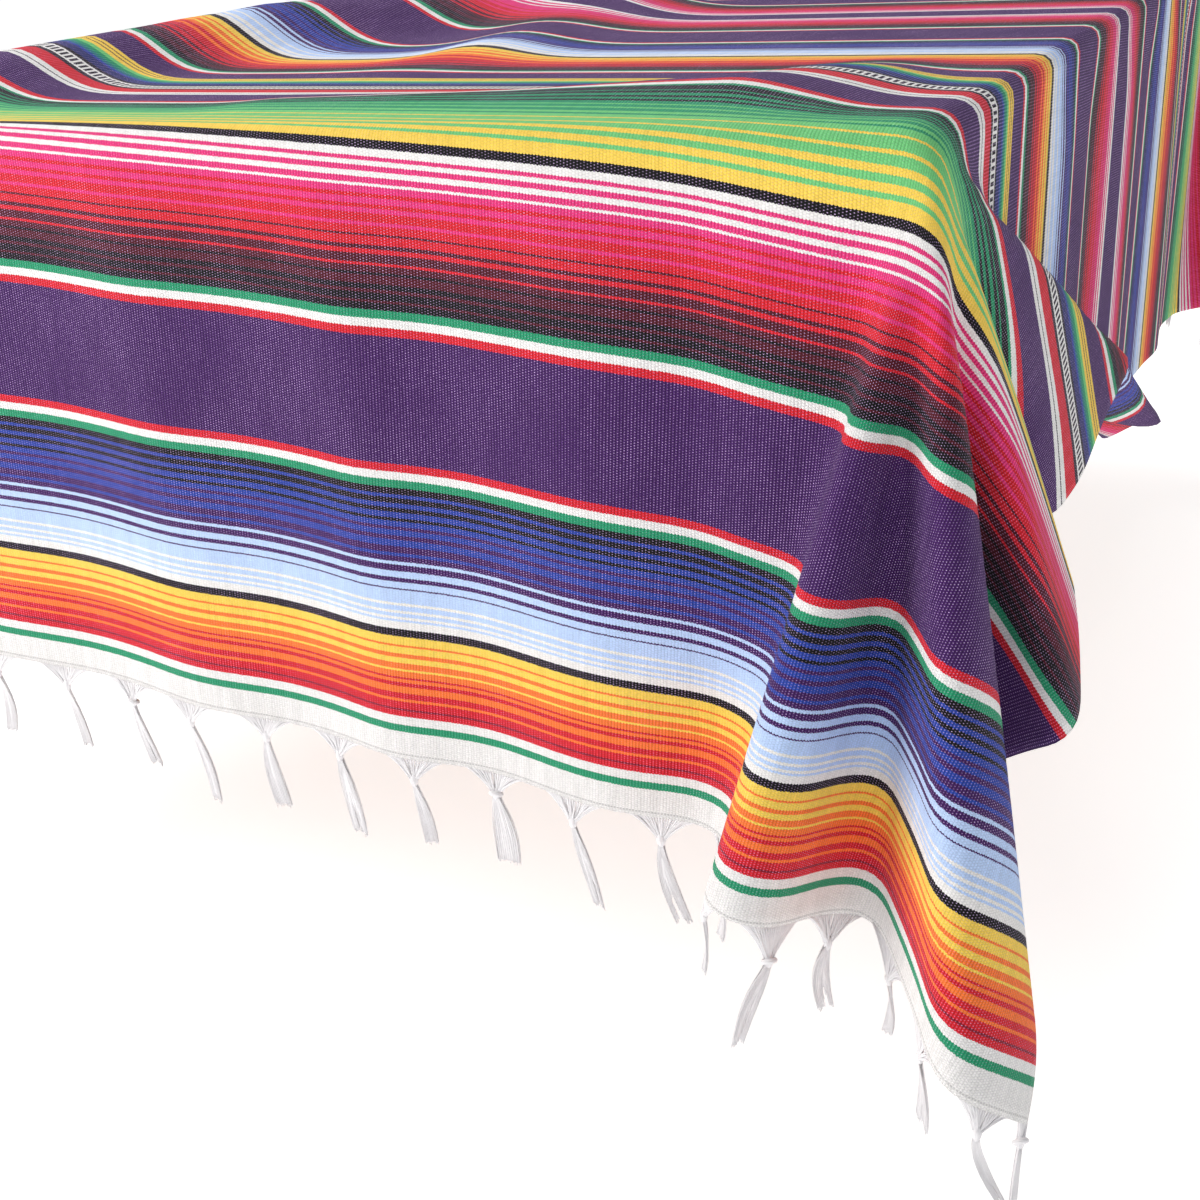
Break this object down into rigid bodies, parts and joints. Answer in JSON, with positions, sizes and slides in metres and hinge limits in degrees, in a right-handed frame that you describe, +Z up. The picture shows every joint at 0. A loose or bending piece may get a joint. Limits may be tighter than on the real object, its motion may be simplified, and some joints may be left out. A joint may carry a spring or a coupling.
{
  "type": "mexican serape draped over a plain table",
  "caption": "Woven striped blanket with a knotted fringe at each end, hanging in folds over a plain table that stands on one column.",
  "frame": {"origin": "on the floor, under the middle of the bounding box's plan", "axes": "+Z up, -Y towards the front end of the table, +Y along the cloth's length, +X to the right"},
  "size_m": [1.1152, 1.5516, 0.6571],
  "materials": {
    "striped_weave": "weft-faced striped weave of acrylic and cotton, matt",
    "white_yarn": "soft white knotted warp yarn",
    "plain_wood": "plain wood with a satin oil"
  },
  "bodies": {
    "root": {"serape_panel": "striped_weave", "fringe_front": "white_yarn", "fringe_back": "white_yarn", "table_top": "plain_wood", "table_bearer": "plain_wood", "table_column": "plain_wood", "table_base": "plain_wood"}
  },
  "joints": []
}
